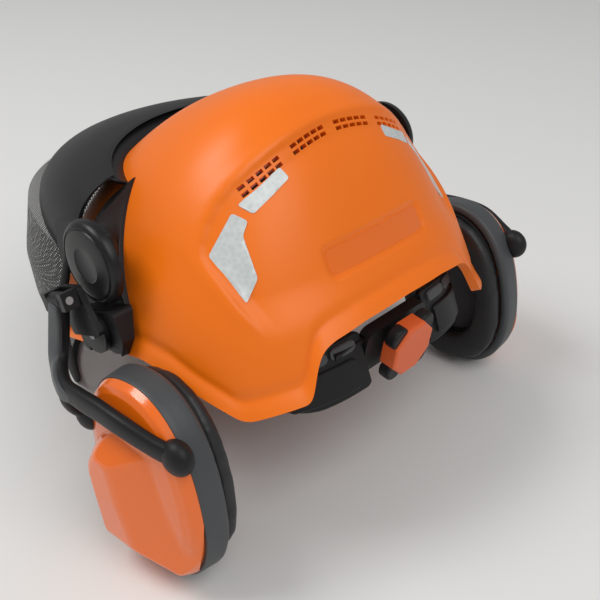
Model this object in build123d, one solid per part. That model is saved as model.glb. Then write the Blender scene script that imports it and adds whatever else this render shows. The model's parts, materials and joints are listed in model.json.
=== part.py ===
from build123d import *
import math
import os

# Forestry helmet: shell, harness, tilting mesh visor and two earmuffs on arms.
# Everything is drawn in the helmet's own frame (rim level, +Y to the nape, +X to the
# wearer's left) and laid down nose first at the end, standing on the muffs and the visor.

# ---- driving dimensions, mm ----
HALF_WIDTH = 114.0      # shell, rim to side
REAR_LENGTH = 114.8     # shell, centre to nape
FRONT_LENGTH = 124.8    # shell, centre to brow
CENTRE_Y = 11.0         # where the widest section is
CROWN_HEIGHT = 142.2
CROWN_SHIFT = 40.2      # how far the crown leans to the rear
PLAN_POWER = 2.68       # superellipse exponent of the plan
FALL_POWER = 0.92
RISE_POWER = 1.11
WALL = 3.0
SKIN = 0.6              # reflective film
BRACKET = 3.0           # side bracket thickness
NOSE_DOWN = 22.0        # degrees, the way the helmet lies when it is set down

VISOR_PIVOT = (0, 37.0, 84.0)
PIN_RADIUS = 4.0
PIN_CLEARANCE = 0.06
EAR_INNER_X = 104.0     # visor side arms
EAR_OUTER_X = 108.5
CAP_RADIUS = 21.5
CAP_OUTER_X = 114.5
BAND_WALL = 2.6
MESH_WALL = 1.2
TRIM_WALL = 0.8
VISOR_GAP = 0.7         # between the visor's trim and the shell, raised or lowered

TURRET = (28.0, 50.0)   # Y and Z of the axis that an earmuff arm turns on
SWING_PIN = (127.4, 71.0)   # X and Z of the pin that an arm swings out on
SWING_PIN_RADIUS = 2.0
ARM_RADIUS = 4.8
FORK_RADIUS = 4.2
BALL_RADIUS = 7.5
FORK_ENDS = {1: (142.5, 76, 15), -1: (143.5, 26.5, 23)}     # last bend before each ball
ARM_PATH = [(127.4, 24, 71), (128, 17, 58), (131, 11, 45), (136, 16, 34), (142, 30, 31)]

CUP = (128.0, 57.0, -19.5)  # cup centre, in the plane where ring and shell meet
CUP_TILT = 10.0
CUP_HALF_WIDTH = 39.5
CUP_HALF_HEIGHT = 55.0
CUP_WALL = 2.5
CUP_PIVOT = (5.5, 35.5, 27.0)   # ball centres in the cup's frame: out, sideways, up
RING_DEPTH = 14.0
CUSHION_DEPTH = 7.0

KNOB = (0, 122.0, -7.0)     # centre of the knob's face
KNOB_TILT = 30.0            # the knob's axis points this far below the rear
KNOB_RADIUS = 16.0
KNOB_DEPTH = 10.5
PINION_RADIUS = 5.0
CLIP_RADII = {0: 84.0, 40: 93.5}    # strap clips, by the angle of their strap
PINION_TEETH = 10
RACK_TRAVEL = 13.0

os.makedirs("parts", exist_ok=True)
PARTS = {}


def keep(name, shape):
    """Register a finished piece under its node name."""
    PARTS[name] = shape


def mirrored(shape):
    """The same piece on the wearer's right."""
    return mirror(shape, about=Plane.YZ)


def both(name, shape):
    """Register a left piece and its mirror image."""
    keep(name + "_left", shape)
    keep(name + "_right", mirrored(shape))


def signed_power(value, power):
    return math.copysign(abs(value) ** power, value)


def loop_face(points):
    """A flat face inside a smooth closed curve."""
    return Face(Wire([Spline(*points, periodic=True)]))


def plan_loop(half_x, rear, front, power, z, centre_y=0.0, count=20):
    """A closed superellipse at one height, longer one way than the other."""
    points = []
    for k in range(count):
        turn = 2 * math.pi * (k + 0.5) / count
        x = half_x * signed_power(math.sin(turn), 2 / power)
        y = (rear if math.cos(turn) > 0 else front) * signed_power(math.cos(turn), 2 / power)
        points.append((x, centre_y + y, z))
    return loop_face(points)


# ---------------------------------------------------------------- shell

def dome(offset, bottom):
    """The shell's outer surface moved out by offset, as a solid down to bottom."""
    sections = []
    crown = CROWN_HEIGHT + offset
    angles = [None, 0, 12, 26, 42, 58, 72, 84]
    for angle in angles:
        lift = 0 if angle is None else math.sin(math.radians(angle)) ** RISE_POWER
        fall = 1 if angle is None else math.cos(math.radians(angle)) ** FALL_POWER
        z = bottom if angle is None else crown * lift
        if angle == 0 and bottom >= 0:
            continue
        sections.append(plan_loop((HALF_WIDTH + offset) * fall, (REAR_LENGTH + offset) * fall,
                                  (FRONT_LENGTH + offset) * fall, PLAN_POWER, z,
                                  CENTRE_Y + CROWN_SHIFT * lift ** 2))
    return Solid.make_loft([face.outer_wire() for face in sections])


def dome_y(x, z):
    """Y of the rear surface at a given X and Z."""
    lift = z / CROWN_HEIGHT
    fall = (1 - lift ** (2 / RISE_POWER)) ** (FALL_POWER / 2)
    side = (abs(x) / (HALF_WIDTH * fall)) ** PLAN_POWER
    return CENTRE_Y + CROWN_SHIFT * lift ** 2 + REAR_LENGTH * fall * (1 - side) ** (1 / PLAN_POWER)


def prism_along_y(points, y0, y1, rounding=0.0):
    """An outline in X and Z, from y0 to y1."""
    face = make_face(Polyline(*[(x, y0, z) for x, z in points], close=True))
    if rounding:
        face = fillet(face.vertices(), rounding)
    return extrude(face, y1 - y0, dir=(0, 1, 0))


def prism_along_x(points, x0, x1, rounding=0.0):
    """An outline in Y and Z, from x0 to x1."""
    face = make_face(Polyline(*[(x0, y, z) for y, z in points], close=True))
    if rounding:
        face = fillet(face.vertices(), rounding)
    return extrude(face, x1 - x0, dir=(1, 0, 0))


def nape_cutter():
    """The space below the rear rim, between the two rear corners."""
    half = [(0, 23.5), (30, 22.8), (50, 20.5), (58, 17.5), (62, 11), (66, 2), (69, -20)]
    outline = [(-x, z) for x, z in reversed(half[1:])] + half
    return prism_along_y(outline, 60, 160)


def ear_cutter():
    """The space below the side arches and the brow."""
    edge = [(94, -3), (91, 2), (79, 13), (66, 25), (50, 33), (32, 36.5), (8, 38.5), (-30, 41),
            (-80, 44), (-140, 47)]
    curve = Spline(*[(-150, y, z) for y, z in edge])
    rest = Polyline((-150, -140, 47), (-150, -140, -30), (-150, 94, -30), (-150, 94, -3))
    return extrude(make_face(Curve() + [curve, rest]), 300, dir=(1, 0, 0))


def vent_slots():
    """Two rows of vents under the crown step, in two groups on each side."""
    slots = []
    for x in (16.5, 47.0):
        for row in range(2):
            z = 113.4 - 15.0 * (x / 61) ** 1.8 - 3.4 * row
            turn = -math.degrees(math.asin(x / 125))
            drop = math.degrees(math.atan(15.0 * 1.8 / 61 * (x / 61) ** 0.8))
            for side in (1, -1):
                place = Pos(side * x, dome_y(x, z), z) * Rot(0, 0, side * turn) * Rot(0, side * drop, 0)
                slots.append(place * Box(24, 26, 1.8))
    return slots


def make_shell(outer):
    shell = outer - dome(-WALL, -4)
    shell = shell - nape_cutter() - ear_cutter()
    shell = shell - vent_slots()
    keep("shell", shell)


def film(outline, layer):
    """A thin film on the rear of the shell, inside an outline seen from behind."""
    return layer & prism_along_y(outline, 60, 150)


def film_pair(name, outline, layer):
    keep(name + "_left", film(outline, layer))
    keep(name + "_right", film([(-x, z) for x, z in reversed(outline)], layer))


def make_films(outer):
    layer = dome(SKIN, 0) - outer
    film_pair("reflector_side", [(66, 91), (63, 86), (68, 80), (71, 58), (79, 51), (81, 76)], layer)
    film_pair("reflector_top", [(62.5, 93.5), (37, 104), (37, 98.5), (60, 88)], layer)
    keep("size_plate", film([(-36, 47), (36, 47), (36, 60.5), (-36, 60.5)], layer))


def make_brackets(outer):
    """The black side brackets that carry the visor and the earmuffs."""
    layer = dome(BRACKET, 0) - outer
    outline = [(29, 113), (29, 104), (34, 83), (42, 54), (40, 45), (4, 45), (-8, 62), (-4, 86), (8, 103)]
    keep("side_bracket_left", layer & prism_along_x(outline, 60, 130))
    keep("side_bracket_right", layer & prism_along_x(outline, -130, -60))


def ring_loft(sections, power=2.3, centre=0.0):
    """A loft through ovals (height, half width, half length) stacked along Z."""
    return Solid.make_loft([plan_loop(w, h, h, power, z, centre).outer_wire() for z, w, h in sections])


def rod(points, radius, bend=5.0):
    """A round bar along straight runs joined by arcs."""
    path = FilletPolyline(*points, radius=bend)
    start = Plane(origin=points[0], z_dir=Vector(*points[1]) - Vector(*points[0]))
    return sweep(start * Circle(radius), path=path)


def cylinder_x(radius, x0, x1, y, z):
    """A cylinder along X."""
    return Pos((x0 + x1) / 2, y, z) * Rot(0, 90, 0) * Cylinder(radius, x1 - x0)


def cylinder_y(radius, y0, y1, x, z):
    """A cylinder along Y."""
    return Pos(x, (y0 + y1) / 2, z) * Rot(90, 0, 0) * Cylinder(radius, y1 - y0)


# ---------------------------------------------------------------- visor

VISOR_PLACE = Pos(*VISOR_PIVOT) * Rot(-NOSE_DOWN, 0, 0)
BAND_SECTIONS = [(-13, 108, 149), (-2, 107.6, 146), (8, 104.5, 132), (17, 100, 113), (22.5, 94, 98),
                 (27, 84, 76)]
MESH_SECTIONS = [(-8, 107.5, 147), (-40, 113, 156), (-62, 111.5, 158.5), (-85, 105.5, 159), (-120, 97, 156),
                 (-150, 89, 151)]
SIDE_BORDER = [(-28, -8), (-44, -60), (-72, -105), (-104, -150)]


def visor_loft(sections, power, grow):
    """Stacked plan curves of the visor, moved outwards by grow."""
    wires = []
    for z, half_x, front in sections:
        wires.append(plan_loop(half_x + grow, front + grow, front + grow, power, z).outer_wire())
    return Solid.make_loft(wires)


def ahead_of(border, shift):
    """Everything in front of the visor's side border, moved by shift along Y."""
    points = [(y + shift, z) for y, z in border]
    low, high = points[-1], points[0]
    outline = points + [(low[0], low[1] - 20), (-200, low[1] - 20), (-200, 60), (high[0], 60)]
    return prism_along_x(outline, -130, 130)


def make_visor(floor_z):
    band = visor_loft(BAND_SECTIONS, 1.9, 0) - visor_loft(BAND_SECTIONS, 1.9, -BAND_WALL)
    band = band & Pos(0, -114, 0) * Box(260, 180, 80)
    ear_outline = [(8, -17), (14, 0), (8, 17), (-8, 18), (-34, 10), (-34, -12.5), (-8, -17)]
    for side in (1, -1):
        ear = prism_along_x(ear_outline, EAR_INNER_X, EAR_OUTER_X, 4)
        ear = ear - cylinder_x(PIN_RADIUS + PIN_CLEARANCE, 90, 120, 0, 0)
        band = band + (ear if side > 0 else mirrored(ear))
    front = ahead_of(SIDE_BORDER, 0)
    sheet = visor_loft(MESH_SECTIONS, 2.3, 0) - visor_loft(MESH_SECTIONS, 2.3, -MESH_WALL)
    above_floor = Pos(0, -100, floor_z + 100) * Box(300, 300, 200)
    sheet = ((sheet & front & above_floor) - band).solids().sort_by(SortBy.VOLUME)[-1]
    frame = visor_loft(MESH_SECTIONS, 2.3, TRIM_WALL)
    frame = frame - visor_loft(MESH_SECTIONS, 2.3, -MESH_WALL - TRIM_WALL)
    frame = frame & front & above_floor
    window = ahead_of(SIDE_BORDER, -7) & Pos(0, -100, floor_z + 107) * Box(300, 300, 200)
    frame = frame - window - sheet - band
    shell_room = VISOR_PLACE.inverse() * dome(VISOR_GAP, 0)
    for turn in (0, 25, 50, 75):
        frame = frame - Rot(turn, 0, 0) * shell_room
    frame = Compound(frame.solids().sort_by(SortBy.VOLUME)[-2:])
    keep("visor_band", VISOR_PLACE * band)
    keep("visor_mesh", VISOR_PLACE * sheet)
    keep("visor_trim", VISOR_PLACE * frame)


def make_visor_pivots(outer):
    """Boss and pin on the shell's bracket, and the round cap that turns on them."""
    y, z = VISOR_PIVOT[1:]
    boss = cylinder_x(13, 80, EAR_INNER_X - 0.3, y, z)
    hole = cylinder_x(PIN_RADIUS, 99, 130, y, z)
    keep("side_bracket_left", PARTS["side_bracket_left"] + (boss - outer) - hole)
    keep("side_bracket_right", PARTS["side_bracket_right"] + (mirrored(boss) - outer) - mirrored(hole))
    both("pivot_pin", cylinder_x(PIN_RADIUS, 99, CAP_OUTER_X - 2.4, y, z))
    cap = cylinder_x(CAP_RADIUS, EAR_OUTER_X, CAP_OUTER_X, y, z)
    rim = cap.edges().filter_by(GeomType.CIRCLE).sort_by(Axis.X)[-1]
    cap = fillet(rim, 3.5)
    cap = cap - cylinder_x(PIN_RADIUS + PIN_CLEARANCE, EAR_OUTER_X - 1, CAP_OUTER_X - 2, y, z)
    both("pivot_cap", cap)


# ---------------------------------------------------------------- earmuff arms

def make_arm_mounts(outer):
    """Adapter, sliding carrier and turret of one earmuff arm, and their pins."""
    y, z = TURRET
    adapter = prism_along_x([(8, 60), (9, 40), (18, 36), (42, 36), (48, 44), (48, 60)], 80, 116, 3)
    adapter = adapter - dome(BRACKET, 0)
    adapter = adapter - Pos(122.5, y, 45) * Box(20, 29, 60)
    both("arm_adapter", adapter)
    carrier = Pos(114.2, y, 50) * Box(3.0, 28, 19) - cylinder_x(3.0, 105, 125, y, z)
    both("arm_carrier", carrier)
    both("turret_pin", cylinder_x(3.0, 112.8, 120, y, z))
    disc = cylinder_x(11, 116.0, 119.0, y, z)
    lug_plate = prism_along_x([(15, 50), (41, 50), (36, 66), (34, 76), (14, 76), (13, 62)], 119.0, 122.2, 2)
    turret = disc + lug_plate
    for lug_y in (16, 32):
        turret = turret + Pos(126.7, lug_y, 71) * Box(9, 4, 9)
    pin_x, pin_z = SWING_PIN
    turret = turret - cylinder_y(SWING_PIN_RADIUS, 10, 40, pin_x, pin_z)
    turret = turret - cylinder_x(3.0 + PIN_CLEARANCE, 105, 120.1, y, z)
    both("arm_turret", turret)
    both("swing_pin", cylinder_y(SWING_PIN_RADIUS, 14, 34, pin_x, pin_z))


def cup_place():
    """From a cup drawn flat, outwards along Z, to its place on the left ear."""
    return Pos(*CUP) * Rot(-CUP_TILT, 0, 0) * Plane(origin=(0, 0, 0), x_dir=(0, 1, 0), z_dir=(1, 0, 0)).location


def ball_centre(side):
    """Where a fork ball sits: side 1 is towards the nape, -1 towards the face."""
    out, across, up = CUP_PIVOT
    return (cup_place() * Pos(side * across, up, out)).position


def make_arm():
    pin_x, pin_z = SWING_PIN
    knuckle = cylinder_y(ARM_RADIUS - 0.6, 18.3, 29.7, pin_x, pin_z)
    rear, front = ball_centre(1), ball_centre(-1)
    bend = ARM_PATH[-1]
    upper = rod(ARM_PATH, ARM_RADIUS, 4.0)
    arm = knuckle + upper + Pos(*bend) * Sphere(ARM_RADIUS)
    arm = arm + rod([bend, (143.5, 52, 26), FORK_ENDS[1], tuple(rear)], FORK_RADIUS, 8.0)
    arm = arm + rod([bend, FORK_ENDS[-1], tuple(front)], FORK_RADIUS, 5.0)
    arm = arm - cylinder_y(SWING_PIN_RADIUS + PIN_CLEARANCE, 10, 40, pin_x, pin_z)
    for lug_y in (16, 32):
        arm = arm - cylinder_y(7.2, lug_y - 2.3, lug_y + 2.3, pin_x, pin_z)
    balls = Pos(*rear) * Sphere(BALL_RADIUS) + Pos(*front) * Sphere(BALL_RADIUS)
    both("arm_fork", arm + balls)


# ---------------------------------------------------------------- earmuff cups

def make_cup():
    place = cup_place()
    w, h = CUP_HALF_WIDTH, CUP_HALF_HEIGHT
    base = ring_loft([(0, w - 2, h - 2), (3.5, w - 2.8, h - 3), (7, w - 7, h - 8)])
    bulge = ring_loft([(2, w - 3.2, 40), (10, w - 4.5, 38), (18, w - 11, 32), (25.5, w - 20, 24)], 2.4, -10)
    hollow = ring_loft([(-1, w - 5, h - 5), (4.5, w - 8, h - 9)])
    room = ring_loft([(2, w - 7, 36), (10, w - 8, 34), (18, w - 15, 27), (23, w - 23, 20)], 2.4, -10)
    shell = base + bulge - hollow - room
    ring = ring_loft([(-RING_DEPTH, w - 0.3, h - 0.3), (-RING_DEPTH + 3, w + 0.6, h + 0.6), (0, w - 1.4, h - 1.4)])
    ring = ring - ring_loft([(-RING_DEPTH - 1, w - 3.5, h - 3.5), (1, w - 4.5, h - 4.5)])
    plate = ring_loft([(-RING_DEPTH, w - 3.9, h - 3.9), (-RING_DEPTH + 2.5, w - 3.9, h - 3.9)])
    plate = plate - ring_loft([(-20, 20, 31), (0, 20, 31)])
    top = -RING_DEPTH - 0.1
    cushion = ring_loft([(top, w - 3.5, h - 6.5), (top - 2.4, w - 2, h - 5.5), (top - 4.6, w - 2.5, h - 6),
                         (top - CUSHION_DEPTH, w - 6, h - 9)])
    cushion = cushion - ring_loft([(-40, 20, 31), (0, 20, 31)])
    liner = ring_loft([(-RING_DEPTH + 2.7, 30, 45), (-2.5, 29, 44)])
    for side in (1, -1):
        out, across, up = CUP_PIVOT
        pocket = Pos(side * across, up, out) * Sphere(BALL_RADIUS + 0.35)
        end = Vector(side * across, up, out)
        way_in = (place.inverse() * Pos(*FORK_ENDS[side])).position
        axis = Plane(origin=end, z_dir=way_in - end)
        pocket = pocket + axis * Pos(0, 0, 9) * Cylinder(FORK_RADIUS + 2.4, 18)
        shell = shell - pocket
        ring = ring - pocket
    both("cup_shell", place * shell)
    both("cup_ring", place * ring)
    both("cup_plate", place * plate)
    both("ear_cushion", place * cushion)
    both("cup_foam", place * liner)


# ---------------------------------------------------------------- harness

def band_section(half_x, half_y, wall, z0, z1, power=2.3, centre=8.0):
    """An upright oval band."""
    outer = Solid.make_loft([plan_loop(half_x, half_y, half_y, power, z, centre).outer_wire()
                             for z in (z0, z1)])
    inner = Solid.make_loft([plan_loop(half_x - wall, half_y - wall, half_y - wall, power, z,
                                       centre).outer_wire() for z in (z0 - 1, z1 + 1)])
    return outer - inner


def strap(angle, rise, width):
    """A textile strap that arches from rim to rim under the crown."""
    half = CLIP_RADII[abs(angle)] - 1.8
    curve = Spline((-half, 0, 62), (-half * 0.72, 0, 62 + (rise - 62) * 0.62), (0, 0, rise),
                   (half * 0.72, 0, 62 + (rise - 62) * 0.62), (half, 0, 62))
    lower = Pos(0, 0, -1.2) * curve
    edges = [curve, lower, Line(curve @ 0, lower @ 0), Line(curve @ 1, lower @ 1)]
    sheet = extrude(make_face(Wire(edges)), width / 2, both=True, dir=(0, 1, 0))
    return Pos(0, 12, 0) * Rot(0, 0, angle) * sheet


def make_harness():
    keep("headband", band_section(78, 98, 2.0, 30, 56) & Pos(0, -42, 40) * Box(300, 220, 100))
    pad = band_section(75.8, 95.8, 4.5, 28, 58) & Pos(0, -80, 40) * Box(130, 90, 100)
    keep("brow_pad", pad)
    keep("crown_strap_front", strap(40, 121.0, 18))
    keep("crown_strap_middle", strap(0, 123.8, 18))
    keep("crown_strap_rear", strap(-40, 126.6, 18))
    clips = []
    for angle in (0, 40, -40):
        for end in (1, -1):
            clip = Pos(end * CLIP_RADII[abs(angle)], 0, 64) * Box(3.5, 22, 11.5)
            clips.append(Pos(0, 12, 0) * Rot(0, 0, angle) * clip)
    keep("strap_clips", Compound(clips))
    keep("crown_pad", Pos(0, 12, 112) * Cylinder(26, 4))


def knob_place():
    tilt = math.radians(KNOB_TILT)
    plane = Plane(origin=KNOB, x_dir=(1, 0, 0), z_dir=(0, math.cos(tilt), -math.sin(tilt)))
    return plane.location


def make_nape():
    """Cradle, ratchet housing, pinion, racks and knob at the back of the head."""
    place = knob_place()
    back, front = -19.5, -13.0
    case = Pos(0, 0, (back + front) / 2) * Box(48, 26, front - back)
    case = fillet(case.edges().filter_by(Axis.Z), 6)
    cavity = Pos(0, 0, -17) * Box(60, 20.4, 3.2)
    shaft_hole = Pos(0, 0, -14) * Cylinder(2.5 + PIN_CLEARANCE, 6)
    split = Pos(0, 0, -15.4 + 10) * Box(80, 80, 20)
    keep("ratchet_base", place * (case - cavity - split))
    keep("ratchet_cover", place * ((case & split) - cavity - shaft_hole))
    cradle = band_section(80, 104, 3.2, -14, 15, 4.0) & Pos(0, 120, 0) * Box(300, 110, 80)
    knob_room = place * Pos(0, 0, 2) * Cylinder(26, 30)
    cradle = cradle - place * Pos(0, 0, -16.2) * Box(49, 27, 8) - knob_room
    cradle = cradle - place * Pos(0, 0, -17) * Box(2 * (46 + RACK_TRAVEL), 22, 4.8)
    keep("nape_cradle", cradle)
    pad = band_section(76.6, 100.6, 4, -11, 12, 4.0) & Pos(0, 120, 0) * Box(110, 60, 80)
    pad = pad - place * Pos(0, 0, -17) * Box(2 * (44 + RACK_TRAVEL), 28, 8) - knob_room
    keep("nape_pad", pad - Pos(0, 110, 0) * Box(52, 60, 60))
    pitch = 2 * math.pi * PINION_RADIUS / PINION_TEETH
    pinion = Pos(0, 0, -17) * Cylinder(PINION_RADIUS - 1.0, 2.6)
    for k in range(PINION_TEETH):
        tooth = Rot(0, 0, 360 / PINION_TEETH * (k + 0.5)) * Pos(0, PINION_RADIUS - 0.3, -17)
        pinion = pinion + tooth * Box(1.0, 2.0, 2.6)
    pinion = pinion + Pos(0, 0, -13.5) * Cylinder(2.5, 5)
    keep("pinion", place * pinion)
    rack = Pos(15, -(PINION_RADIUS + 2.6), -17) * Box(58, 3.0, 2.6)
    for k in range(-4, 9):
        rack = rack + Pos(pitch * k, -(PINION_RADIUS + 0.5), -17) * Box(1.0, 1.8, 2.6)
    keep("rack_left", place * rack)
    keep("rack_right", place * Rot(0, 0, 180) * rack)


def make_knob():
    place = knob_place()
    core = extrude(RegularPolygon(KNOB_RADIUS, 8, rotation=22.5), KNOB_DEPTH - 1)
    core = Pos(0, 0, -KNOB_DEPTH + 1) * core
    core = fillet(core.faces().sort_by(Axis.Z)[-1].edges(), 1.6)
    grips = []
    for k in range(4):
        turn = Rot(0, 0, 45 + 90 * k)
        lobe = turn * Pos(KNOB_RADIUS - 1.5, 0, -5.2) * Cylinder(6.2, 7.0)
        lobe = fillet(lobe.edges().filter_by(GeomType.CIRCLE), 1.5)
        grips.append(lobe)
    for lobe in grips:
        core = core - lobe
    core = core - Pos(0, 0, -7.5) * Cylinder(3.4, 4.6)
    keep("knob_core", place * core)
    keep("knob_grips", place * Compound(grips))
    keep("knob_screw", place * Pos(0, 0, -7.4) * Cylinder(3.35, 3.2))


outer_dome = dome(0, 0)
make_shell(outer_dome)
make_films(outer_dome)
make_brackets(outer_dome)
make_visor_pivots(outer_dome)
make_arm_mounts(outer_dome)
make_arm()
make_cup()
make_harness()
make_nape()
make_knob()

lying = Rot(NOSE_DOWN, 0, 0)
muff_low = (lying * PARTS["cup_ring_left"]).bounding_box().min.Z
pivot_height = (lying * Pos(*VISOR_PIVOT)).position.Z
make_visor(muff_low - pivot_height)

whole = Compound([lying * shape for shape in PARTS.values()]).bounding_box()
settle = Pos(0, -(whole.min.Y + whole.max.Y) / 2, -whole.min.Z) * lying
print("lay down by", settle.position, "pivots", [
    (name, (settle * Pos(*point)).position) for name, point in {
        "visor": VISOR_PIVOT, "turret": (110, *TURRET), "pin": (SWING_PIN[0], 24, SWING_PIN[1]),
        "rear ball": tuple(ball_centre(1)), "front ball": tuple(ball_centre(-1)), "knob": KNOB}.items()])
for name, shape in PARTS.items():
    export_step(settle * shape, f"parts/{name}.step")
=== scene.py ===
import json
import math

import bmesh
import bpy
import numpy as np
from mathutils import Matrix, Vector
from mathutils.geometry import delaunay_2d_cdt


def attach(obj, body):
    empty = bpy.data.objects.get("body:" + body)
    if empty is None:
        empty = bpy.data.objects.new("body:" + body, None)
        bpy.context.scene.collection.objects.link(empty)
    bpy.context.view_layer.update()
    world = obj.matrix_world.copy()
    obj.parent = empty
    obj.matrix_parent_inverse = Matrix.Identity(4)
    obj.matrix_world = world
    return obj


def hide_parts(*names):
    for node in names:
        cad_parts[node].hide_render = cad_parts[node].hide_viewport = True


# Forestry helmet, lying nose-down. Sizes are millimetres in the helmet's own level frame
# (+Y to the nape, +X to the wearer's left); row() carries them into the shared frame in metres.

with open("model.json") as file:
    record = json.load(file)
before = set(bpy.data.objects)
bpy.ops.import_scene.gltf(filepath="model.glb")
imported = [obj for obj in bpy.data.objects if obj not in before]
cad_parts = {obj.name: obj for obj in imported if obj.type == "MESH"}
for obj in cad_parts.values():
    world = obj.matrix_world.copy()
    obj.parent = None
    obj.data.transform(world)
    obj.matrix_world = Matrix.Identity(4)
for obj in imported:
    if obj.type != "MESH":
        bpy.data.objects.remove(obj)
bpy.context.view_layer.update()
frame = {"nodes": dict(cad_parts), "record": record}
NODES = frame["nodes"]
JOINTS = {j["name"]: j for j in frame["record"]["behaviour"]["joints"]}

LEAN = math.radians(22)
COS, SIN = math.cos(LEAN), math.sin(LEAN)
VISOR_PIVOT = (0.0, 37.0, 84.0)
PIVOT_ROW = Vector(JOINTS["visor_tilt"]["pos_m"])
SHIFT_Y = PIVOT_ROW.y * 1000 - (COS * 37.0 - SIN * 84.0)
SHIFT_Z = PIVOT_ROW.z * 1000 - (SIN * 37.0 + COS * 84.0)

HALF_WIDTH, REAR, FRONT = 114.0, 114.8, 124.8
CENTRE_Y, CROWN, CROWN_SHIFT = 11.0, 142.2, 40.2
PLAN, FALL, RISE = 2.68, 0.92, 1.11
WALL = 3.0

CUP = (128.0, 57.0, -19.5)
CUP_W, CUP_H = 39.5, 55.0
RIM_OUT = 3.5
PIVOT_OUT, PIVOT_ACROSS, PIVOT_UP = 5.5, 35.5, 27.0
SIDES = {"left": 1, "right": -1}
FLOOR_SIZE = 8.0    # metres


def row(points):
    """Helmet-frame millimetres to row-frame metres, for one point or an array of them."""
    p = np.asarray(points, dtype=float)
    x, y, z = p[..., 0], p[..., 1], p[..., 2]
    return np.stack([x, COS * y - SIN * z + SHIFT_Y, SIN * y + COS * z + SHIFT_Z], axis=-1) / 1000


# ---------------------------------------------------------------- materials

def material(name, color, rough, metallic=0.0, coat=0.0, coat_rough=0.05, grain=0.0, grain_size=900.0,
             smudge=0.0, sheen=0.0, shine=0.5):
    """A procedural material: base colour, fine grain in the normal, faint unevenness in the gloss."""
    made = bpy.data.materials.new(name)
    made.use_nodes = True
    tree = made.node_tree
    shader = tree.nodes["Principled BSDF"]
    shader.inputs["Base Color"].default_value = (*color, 1)
    shader.inputs["Roughness"].default_value = rough
    shader.inputs["Metallic"].default_value = metallic
    shader.inputs["Coat Weight"].default_value = coat
    shader.inputs["Coat Roughness"].default_value = coat_rough
    shader.inputs["Sheen Weight"].default_value = sheen
    shader.inputs["Specular IOR Level"].default_value = shine
    place = tree.nodes.new("ShaderNodeTexCoord")
    if grain:
        noise = tree.nodes.new("ShaderNodeTexNoise")
        noise.inputs["Scale"].default_value = grain_size
        noise.inputs["Detail"].default_value = 3
        bump = tree.nodes.new("ShaderNodeBump")
        bump.inputs["Strength"].default_value = grain
        bump.inputs["Distance"].default_value = 0.0004
        tree.links.new(place.outputs["Object"], noise.inputs["Vector"])
        tree.links.new(noise.outputs["Fac"], bump.inputs["Height"])
        tree.links.new(bump.outputs["Normal"], shader.inputs["Normal"])
    if smudge:
        cloud = tree.nodes.new("ShaderNodeTexNoise")
        cloud.inputs["Scale"].default_value = 14
        cloud.inputs["Detail"].default_value = 5
        span = tree.nodes.new("ShaderNodeMapRange")
        span.inputs["To Min"].default_value = max(0.02, rough - smudge)
        span.inputs["To Max"].default_value = rough + smudge
        tree.links.new(place.outputs["Object"], cloud.inputs["Vector"])
        tree.links.new(cloud.outputs["Fac"], span.inputs["Value"])
        tree.links.new(span.outputs["Result"], shader.inputs["Roughness"])
    return made


def wire_mesh_material():
    """Woven wire, 620 wires to the metre each way, with the holes between them cut out by alpha."""
    made = material("visor_wire", (0.012, 0.012, 0.012), 0.45, metallic=0.6)
    tree = made.node_tree
    shader = tree.nodes["Principled BSDF"]
    place = tree.nodes.new("ShaderNodeUVMap")
    split = tree.nodes.new("ShaderNodeSeparateXYZ")
    tree.links.new(place.outputs["UV"], split.inputs["Vector"])
    wires = []
    for axis in ("X", "Y"):
        turns = tree.nodes.new("ShaderNodeMath")
        turns.operation = "MULTIPLY"
        turns.inputs[1].default_value = 620
        part = tree.nodes.new("ShaderNodeMath")
        part.operation = "FRACT"
        thin = tree.nodes.new("ShaderNodeMath")
        thin.operation = "LESS_THAN"
        thin.inputs[1].default_value = 0.48
        tree.links.new(split.outputs[axis], turns.inputs[0])
        tree.links.new(turns.outputs[0], part.inputs[0])
        tree.links.new(part.outputs[0], thin.inputs[0])
        wires.append(thin)
    either = tree.nodes.new("ShaderNodeMath")
    either.operation = "MAXIMUM"
    tree.links.new(wires[0].outputs[0], either.inputs[0])
    tree.links.new(wires[1].outputs[0], either.inputs[1])
    tree.links.new(either.outputs[0], shader.inputs["Alpha"])
    return made


def film_material():
    """Grey-white retroreflective film: tiny honeycomb cells under a clear coat."""
    made = material("reflective_film", (0.56, 0.60, 0.60), 0.35, coat=0.6, coat_rough=0.12)
    tree = made.node_tree
    shader = tree.nodes["Principled BSDF"]
    place = tree.nodes.new("ShaderNodeTexCoord")
    cells = tree.nodes.new("ShaderNodeTexVoronoi")
    cells.inputs["Scale"].default_value = 420
    tint = tree.nodes.new("ShaderNodeValToRGB")
    tint.color_ramp.elements[0].color = (0.50, 0.545, 0.55, 1)
    tint.color_ramp.elements[1].color = (0.64, 0.67, 0.66, 1)
    tree.links.new(place.outputs["Object"], cells.inputs["Vector"])
    tree.links.new(cells.outputs["Distance"], tint.inputs["Fac"])
    tree.links.new(tint.outputs["Color"], shader.inputs["Base Color"])
    return made


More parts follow.
